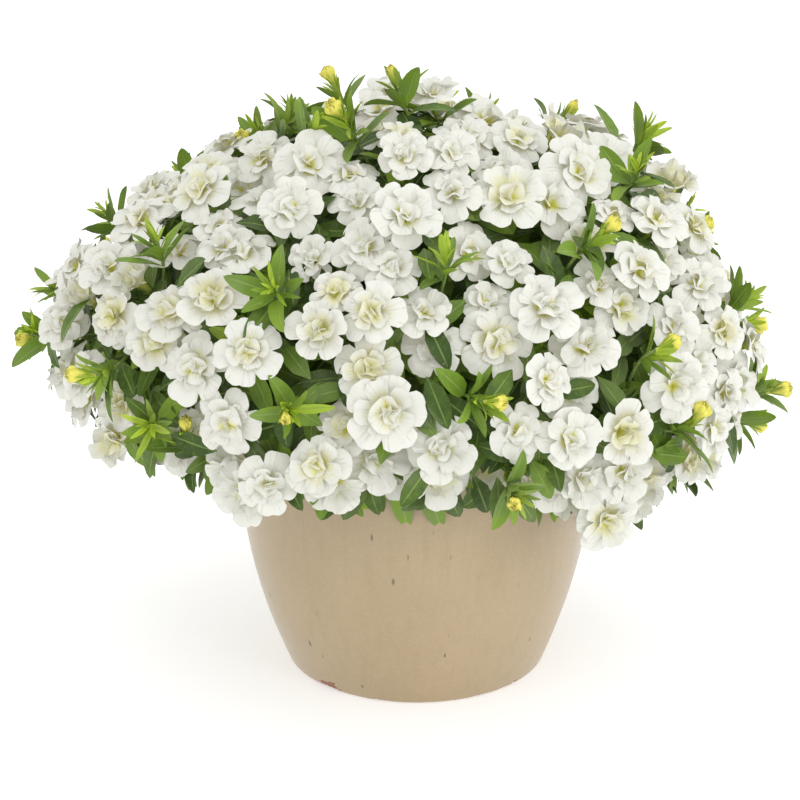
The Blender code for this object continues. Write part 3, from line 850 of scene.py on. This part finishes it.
def bloom_pattern(seed, furl=0.0):
    """One double bloom of radius 1, facing +Z: two corollas and a crumpled rosette."""
    draw = random.Random(seed)
    whole = corolla(draw, 1.0, draw.uniform(0.58, 0.70), 65, 7, 0.0, outer_profile, 0.045, 0.034,
                    furl)
    second = corolla(draw, draw.uniform(0.60, 0.80), 0.56, 45, 4, 0.5, middle_profile, 0.075,
                     0.05, furl)
    shove = Vector((draw.uniform(-0.09, 0.09), draw.uniform(-0.09, 0.09), 0))
    bmesh.ops.rotate(second, verts=second.verts[:],
                     matrix=Matrix.Rotation(draw.uniform(0.4, 0.9), 3, "Z"))
    bmesh.ops.translate(second, verts=second.verts[:], vec=shove)
    add_mesh(whole, second)
    start = draw.uniform(0, tau)
    count = draw.randint(4, 5)
    for index in range(count):
        turn = start + tau * index / count + draw.uniform(-0.35, 0.35)
        lean = draw.uniform(0.35, 0.90) * (1 - 0.5 * furl)
        add_mesh(whole, petaloid(draw, draw.uniform(0.42, 0.62), draw.uniform(0.42, 0.68),
                                 lean, draw.uniform(0.1, 0.8) * (1 - furl), turn))
    for index in range(draw.randint(3, 4)):
        turn = start + 0.5 + index * 1.9 + draw.uniform(-0.5, 0.5)
        add_mesh(whole, petaloid(draw, draw.uniform(0.40, 0.54), draw.uniform(0.36, 0.54),
                                 draw.uniform(0.05, 0.40), draw.uniform(-0.3, 0.7), turn))
    return Pattern(whole, PETAL)


def trumpet_pattern():
    """The tube behind a bloom of radius 1, from its pedicel up to its lobes."""
    bm = polar_sheet(10, 4, 0)
    for point in bm.verts:
        share = point.co.xy.length
        radius = 0.06 + 0.06 * share + 0.05 * share**4
        turn = atan2(point.co.y, point.co.x)
        radius *= 1 + 0.12 * cos(LOBES * turn) * share
        point.co = polar(radius, turn, -TUBE_DEPTH + 0.86 * share)
    bmesh.ops.recalc_face_normals(bm, faces=bm.faces[:])
    return Pattern(bm, TUBE)


def blade_pattern(columns, rows, width, fold, arch, twist=0.0):
    """A leaf of length 1 along +Z, its upper side facing +Y, folded along its midrib."""
    bm = flat_blade(columns, rows)
    top = max((s / 40) ** WIDEST * (1 - s / 40) ** TIP for s in range(1, 40))
    for point in bm.verts:
        aside, along = point.co.x * 2, 1 - (0.5 - point.co.y) ** TIP_ROWS
        half = width / 2 * (along**WIDEST * (1 - along) ** TIP / top + 0.06 * (1 - along))
        turn = twist * along
        sag = arch * along**2
        cup = fold * abs(aside) * half + 0.02 * sin(along * 9 + aside) * half / width
        x = aside * half
        point.co = Vector((x * cos(turn) - cup * sin(turn), x * sin(turn) + cup * cos(turn) - sag,
                           along - 0.25 * arch * along**2))
    return Pattern(bm, LEAF)


def bud_pattern(seed, width):
    """A furled bud of length 1 along +Z: a pleated trumpet whose crumpled tip opens."""
    draw = random.Random(seed)
    bm = polar_sheet(30, 11, 1.0)
    ripple = wave(draw, [(3, 0.05), (7, 0.07), (11, 0.06)])
    for point in bm.verts:
        share = point.co.xy.length
        turn = atan2(point.co.y, point.co.x)
        if share < BUD_WAIST:
            rise = share / BUD_WAIST
            radius, height = width * (0.16 + 0.84 * rise**1.4), BUD_RISE * rise
        else:
            fold = (share - BUD_WAIST) / (1 - BUD_WAIST)
            radius, height = width * (1 - fold * 0.95), BUD_RISE + 0.14 * sin(fold * 1.9)
        pleat = 0.13 * cos(LOBES * turn + share * 4) + ripple(turn + share * 2) * 2 * share
        radius *= 1 + pleat
        height += ripple(turn * 2 + share * 9) * 2.6 * max(0, share - 0.45)
        point.co = polar(radius, turn, height)
    return Pattern(bm, TUBE)


def standing(place, axis, turn=0.0):
    """The frame at place whose Z runs along axis."""
    turned_to = axis.to_track_quat("Z", "Y").to_matrix().to_4x4()
    return Matrix.Translation(place) @ turned_to @ Matrix.Rotation(turn, 4, "Z")


def leaf_frame(base, out, up, length):
    """The frame of a leaf that grows along out with its upper side towards up."""
    z = out.normalized()
    y = (up - z * up.dot(z)).normalized()
    x = y.cross(z)
    turned = Matrix((x, y, z)).transposed().to_4x4()
    return Matrix.Translation(base) @ turned @ Matrix.Scale(length, 4)


def add_tube(whole, path, radii, sides=6):
    """A smooth green stem: a ring drawn out from point to point along a path."""
    bm = bmesh.new()
    ring = bmesh.ops.create_circle(bm, segments=sides, radius=1)["verts"]
    across = (path[1] - path[0]).orthogonal().normalized()
    stood = Matrix()
    for index, point in enumerate(path):
        if index:
            drawn = bmesh.ops.extrude_edge_only(bm, edges=[
                edge for edge in bm.edges if edge.verts[0] in ring and edge.verts[1] in ring])
            ring = [item for item in drawn["geom"] if isinstance(item, bmesh.types.BMVert)]
        along = (path[min(index + 1, len(path) - 1)] - path[max(index - 1, 0)]).normalized()
        across = (across - along * across.dot(along)).normalized()
        radius = radii[0] + (radii[1] - radii[0]) * index / (len(path) - 1)
        turned = Matrix((across, along.cross(across), along)).transposed().to_4x4()
        stand = Matrix.Translation(point) @ turned @ Matrix.Scale(radius, 4)
        bmesh.ops.transform(bm, matrix=stand @ stood.inverted(), verts=ring)
        stood = stand
    bmesh.ops.holes_fill(bm, edges=bm.edges[:], sides=sides)
    bmesh.ops.recalc_face_normals(bm, faces=bm.faces[:])
    for face in bm.faces:
        face.material_index = STEM
    add_mesh(whole, bm)


def bend(start, middle, end, count):
    """Points along a smooth bend."""
    return [start * (1 - t) ** 2 + middle * 2 * t * (1 - t) + end * t**2
            for t in np.linspace(0, 1, count)]


def stem_path(stem):
    """The main stem's arch from its hole in the soil to its fork."""
    foot, fork = stem["foot"], stem["fork"]
    crest = Vector((fork.x, fork.y, 0)) * CREST_REACH
    arch = min(crest.length / RIM_RADIUS, 1)
    crest.z = SOIL_LEVEL + (fork.z - SOIL_LEVEL) * (0.6 + 0.4 * arch) + STEM_RISE * arch
    crest.z = max(crest.z, POT_HEIGHT + 0.075 * arch)
    straight = Vector((foot.x, foot.y, SOIL_LEVEL + 0.006))
    return [foot] + bend(straight, crest, fork, 14)


class Kit:
    """The patterns and finishes of the plant."""

    def __init__(self):
        self.blooms = [bloom_pattern(seed) for seed in range(BLOOM_KINDS)]
        self.young = [bloom_pattern(seed, furl) for seed, furl in YOUNG_KINDS]
        self.trumpet = trumpet_pattern()
        self.buds = [bud_pattern(seed, width) for seed, width in BUD_KINDS]
        self.leaves = [blade_pattern(4, 7, width, 0.35, arch, twist)
                       for width, arch, twist in LEAF_KINDS]
        self.inner = [blade_pattern(2, 5, 0.40, 0.3, arch) for arch in (0.1, 0.35)]
        self.slips = [blade_pattern(2, 5, width, 0.5, arch, 0.1) for width, arch in SLIP_KINDS]
        self.sepal = blade_pattern(2, 5, 0.15, 0.5, -0.08, 0.1)
        self.flower_finishes = [petal(), trumpet()]
        self.green_finishes = [leaf(), green_stem()]


def make_plant(stems):
    """Every flowering stem: its blooms in one piece, its leaves and stems in another."""
    kit = Kit()
    heads = bloom_heads(stems)
    for number, stem in enumerate(stems, 1):
        draw = random.Random(number)
        flowers, greens = bmesh.new(), bmesh.new()
        heart = stem["heart"]
        add_tube(greens, stem_path(stem) + [heart], STEM_RADIUS)
        for site in stem["sites"]:
            if site["shoot"]:
                grow_shoot(greens, flowers, site, heart, kit, heads, draw)
            else:
                grow_bloom(greens, flowers, site, heart, kit, heads, draw)
        for grown in stem["inner"]:
            leaf_at = leaf_frame(*grown)
            if not in_a_bloom(heads, leaf_at):
                draw.choice(kit.inner).copy_into(greens, leaf_at, draw.uniform(0.0, 0.35))
        for grown in stem["hanging"]:
            leaf_at = leaf_frame(*grown)
            draw.choice(kit.leaves).copy_into(greens, leaf_at, draw.uniform(0.15, 0.55))
        node = f"flowering_stem_{number:02d}"
        finished(flowers, f"blooms_{number:02d}", [node], kit.flower_finishes)
        finished(greens, f"foliage_{number:02d}", [node], kit.green_finishes)


def bloom_heads(stems):
    """Stands every bloom in its place; gives the ways back into the blooms' own frames."""
    draw = random.Random(GAP_SEED)
    noise.seed_set(CLUMP_SEED)
    ways = []
    for site in [site for stem in stems for site in stem["sites"] if not site["shoot"]]:
        face = site["face"] + site["tilt"] * VISIBLE_TILT + light_on(site["face"]) * LIGHT_LEAN
        face.normalize()
        size = site["radius"] * draw.uniform(*FULLER)
        site["face"] = face
        out = facing_at(site["surface"])
        sink = settle_at(site["surface"]) + size * LEAN_SINK * sin(face.angle(out))
        shift = noise.noise_vector(site["surface"] * CLUMP_SCALE) * CLUMP_SHIFT
        site["place"] = site["place"] + shift - face * shift.dot(face) - out * sink
        site["frame"] = standing(site["place"], face, site["turn"]) @ Matrix.Scale(size, 4)
        ways.append(np.array(site["frame"].inverted()))
    return np.array(ways)


def light_on(face):
    """Where the light comes from; it reaches what looks to the back only from above."""
    light = TO_LIGHT.copy()
    light.y *= min(max(1 - face.y * BACK_SHADE, 0), 1)
    return light


def in_a_bloom(heads, leaf_at):
    """Whether a leaf of that frame would run through the head of a bloom."""
    along = [leaf_at @ Vector((0, -0.2 * share**2, share)) for share in (0.35, 0.6, 0.8, 1.0)]
    points = np.array([[*point, 1.0] for point in along])
    local = np.einsum("nij,pj->npi", heads[:, :3], points)
    level = np.hypot(local[..., 0], local[..., 1])
    rise = local[..., 2]
    return bool(np.any((level < HEAD_RADIUS) & (rise > HEAD_BACK) & (rise < HEAD_FRONT)))


def grow_bloom(greens, flowers, site, heart, kit, heads, draw):
    """A bloom with its trumpet, calyx and pedicel, and a few leaves under it."""
    face, frame_at = site["face"], site["frame"]
    if draw.random() < YOUNG_SHARE:
        draw.choice(kit.young).copy_into(flowers, frame_at, draw.uniform(0.6, 1.1))
    else:
        draw.choice(kit.blooms).copy_into(flowers, frame_at, draw.random() ** 2.5)
    kit.trumpet.copy_into(flowers, frame_at, draw.uniform(0.0, 0.3))
    base = frame_at @ CALYX_AT
    knee = base - face * (base - heart).length * 0.45
    add_tube(greens, bend(heart, knee, base, 6), PEDICEL_RADII, 5)
    grow_calyx(greens, base, frame_at.to_3x3(), CALYX_LENGTH, kit)
    side = face.orthogonal().normalized()
    for _ in range(BLOOM_LEAVES):
        for _ in range(LEAF_TRIES):
            root = heart.lerp(base, draw.uniform(0.35, 0.95))
            out = Matrix.Rotation(draw.uniform(0, tau), 3, face) @ side
            out += face * draw.uniform(0.0, 1.3)
            leaf_at = leaf_frame(root, out, face, draw.uniform(*LEAF_LENGTH))
            if not in_a_bloom(heads, leaf_at):
                draw.choice(kit.leaves).copy_into(greens, leaf_at, draw.uniform(0.0, 0.65))
                break


def grow_calyx(greens, base, turned, length, kit):
    """Narrow sepals round the foot of a bloom or bud."""
    for index in range(LOBES):
        turn = index * tau / LOBES
        out = turned @ polar(1, turn, 1.9)
        up = turned @ polar(-1, turn, 0.3)
        kit.sepal.copy_into(greens, leaf_frame(base, out, up, length), 0.7)


def grow_shoot(greens, flowers, site, heart, kit, heads, draw):
    """A leafy shoot: big leaves low on it, a tuft of young ones at its tip, often a bud."""
    place = site["place"] - site["face"] * (SHOOT_DEPTH + settle_at(site["surface"]))
    sway = Matrix.Rotation(site["turn"], 3, site["face"]) @ site["face"].orthogonal()
    axis = (site["face"] + sway.normalized() * draw.uniform(*SHOOT_SWAY)).normalized()
    top = place + axis * draw.uniform(*SHOOT_TOP)
    path = bend(heart, place - site["face"] * 0.008, top, 9)
    add_tube(greens, path, SHOOT_RADII, 5)
    side = axis.orthogonal().normalized()
    low = path[5]
    for index in range(SHOOT_LEAVES):
        rise = index / (SHOOT_LEAVES - 1)
        root = low.lerp(top, rise)
        for _ in range(LEAF_TRIES):
            turn = Matrix.Rotation(index * GOLDEN_ANGLE + site["turn"], 3, axis)
            lean = SHOOT_LEAN - SHOOT_LEAN_LOSS * rise + draw.uniform(-0.35, 0.35)
            out = (turn @ side) * sin(lean) + axis * cos(lean)
            length = (SHOOT_LEAF - SHOOT_LEAF_LOSS * rise) * draw.uniform(0.75, 1.2)
            leaf_at = leaf_frame(root, out, axis, length)
            if not in_a_bloom(heads, leaf_at):
                pattern = draw.choice(kit.leaves if rise < TUFT_START else kit.slips)
                # Paler towards the shoot's tip, where the leaves are younger, and paler overall on
                # every shoot as painted backlight.
                age_and_backlight = 0.32 + 0.68 * rise + draw.uniform(-0.15, 0.15)
                pattern.copy_into(greens, leaf_at, age_and_backlight)
                break
    if site["bud"]:
        out = (axis + site["tilt"] * 0.5).normalized()
        bud_at = standing(top, out)
        size = Matrix.Scale(draw.uniform(*BUD_LENGTH), 4)
        draw.choice(kit.buds).copy_into(flowers, bud_at @ size, draw.uniform(0.7, 1.0))
        grow_calyx(greens, top, bud_at.to_3x3(), BUD_CALYX, kit)


def fill_gaps(sites):
    """Blooms a little deeper than the rest, wherever the canopy is still open."""
    draw = random.Random(GAP_SEED)
    blooms = [(site["surface"], site["radius"]) for site in sites]
    tries = [Vector(point) for point in spread(GAP_TRIES, GAP_SPACING, GAP_JITTER, GAP_SEED)]
    made = []
    while tries and len(made) < GAP_COUNT:
        gaps = [min((place - at).length - radius for at, radius in blooms) for place in tries]
        best = max(range(len(tries)), key=lambda index: gaps[index])
        if gaps[best] < GAP_LEAST:
            break
        place = tries[best]
        radius = draw.uniform(*GAP_RADIUS)
        face = facing_at(place)
        blooms.append((place, radius))
        tries = [other for other in tries if (other - place).length > radius * 0.8]
        made.append(new_site(draw, place, face, -draw.uniform(*GAP_DEPTH), radius))
    return made


def outline_sprigs():
    """The sprigs that stand out of the canopy where its outline is seen from the front."""
    draw = random.Random(GAP_SEED)
    made = []
    for angle, proud, bud in SPRIGS:
        turn = radians(angle)
        way = np.array([cos(turn), SPRIG_BACK * sin(turn), sin(turn)])
        surface = Vector(onto_canopy(CANOPY_MIDDLE + way[None] * 0.1)[0])
        made.append(new_site(draw, surface, facing_at(surface), proud, 0, bud))
    return made


def low_blooms():
    """The blooms that hang under the canopy beside the pot."""
    draw = random.Random(GAP_SEED)
    made = []
    for place, radius in LOW_BLOOMS:
        level = Vector((place[0], place[1], 0)).normalized()
        made.append(new_site(draw, Vector(place), level, 0, radius))
    return made


def fill_stems(stems, sites):
    """Gives each stem its share of the filling blooms and of the dark leaves inside."""
    for site in fill_gaps(sites) + low_blooms():
        stem = nearest_stem(stems, site["surface"])
        site["face"] = away_from(stem["heart"], site["place"], site["face"])
        stem["sites"].append(site)
    for site in outline_sprigs():
        nearest_stem(stems, site["surface"])["sites"].append(site)
    for stem in stems:
        stem["inner"], stem["hanging"] = [], []
    for angle, length in HANGING:
        turn = radians(angle)
        level = polar(1, turn, 0)
        root = level * (RIM_RADIUS + 0.004) + Vector((0, 0, POT_HEIGHT + 0.006))
        across = Vector((-level.y, level.x, 0)) * sin(angle * 1.7) * 0.35
        out = level * 0.12 - Vector((0, 0, 1)) + across
        nearest_stem(stems, root)["hanging"].append((root, out, level, length))
    for count, shallow, deep, length, seed in INNER_SHELLS:
        draw = random.Random(seed)
        for point in spread(count, INNER_SPACING, INNER_JITTER, seed):
            face = facing_at(point)
            place = Vector(point) - face * (draw.uniform(shallow, deep) + settle_at(point))
            spin = Matrix.Rotation(draw.uniform(0, tau), 3, face)
            out = spin @ face.orthogonal().normalized() + face * draw.uniform(-0.3, 0.6)
            size = length * draw.uniform(0.85, 1.15)
            nearest_stem(stems, Vector(point))["inner"].append((place, out, face, size))


# Light, floor and camera


def make_stage():
    """A plain white floor, a white surround and broad soft lights."""
    bm = bmesh.new()
    bmesh.ops.create_grid(bm, x_segments=1, y_segments=1, size=20)
    mesh = mesh_from(bm, "floor")
    floor = put("floor", mesh)
    plain = Finish("plain_floor", 0.9, 0.1)
    plain.set("Base Color", FLOOR_WHITE)
    plain.set("Emission Color", (1, 1, 1, 1))
    plain.set("Emission Strength", FLOOR_GLOW)
    mesh.materials.append(plain.material)
    world = bpy.data.worlds.new("studio")
    world.use_nodes = True
    world.node_tree.nodes["Background"].inputs["Color"].default_value = (1, 1, 1, 1)
    bpy.context.scene.world = world
    bpy.context.scene.view_settings.view_transform = "Standard"
    for name, place, size, height, power in LAMPS:
        lamp = bpy.data.lights.new(name, "AREA")
        lamp.shape = "SQUARE"
        lamp.size = size
        lamp.energy = power
        aim_from(put(name, lamp), Vector(place), Vector((0, 0, height)) - Vector(place))


def aim_from(holder, place, way):
    """Stands a lamp or camera at a place, looking along a way."""
    holder.location = place
    holder.rotation_euler = way.to_track_quat("-Z", "Y").to_euler()


def make_camera():
    """The photograph's camera: about 20 degrees above level, 1.4 m away."""
    half = PICTURE / 2
    scale = MM_PER_PIXEL / 1000
    across = (half - POT_MIDDLE_PIXEL) * scale
    rise = (POT_FOOT_PIXEL - half) * scale / cos(CAMERA_RISE)
    target = Vector((across, 0, rise))
    back = Vector((0, -cos(CAMERA_RISE), sin(CAMERA_RISE)))
    lens = bpy.data.cameras.new("camera")
    lens.sensor_width = SENSOR
    lens.lens = SENSOR * CAMERA_DISTANCE / (PICTURE * scale)
    lens.clip_start = 0.05
    camera = put("camera", lens)
    aim_from(camera, target + back * CAMERA_DISTANCE, -back)
    bpy.context.scene.camera = camera


make_camera()
make_stage()
make_pot()
make_soil()
canopy_sites = lay_out_sites()
flowering_stems = lay_out_stems(canopy_sites)
fill_stems(flowering_stems, canopy_sites)
make_plant(flowering_stems)
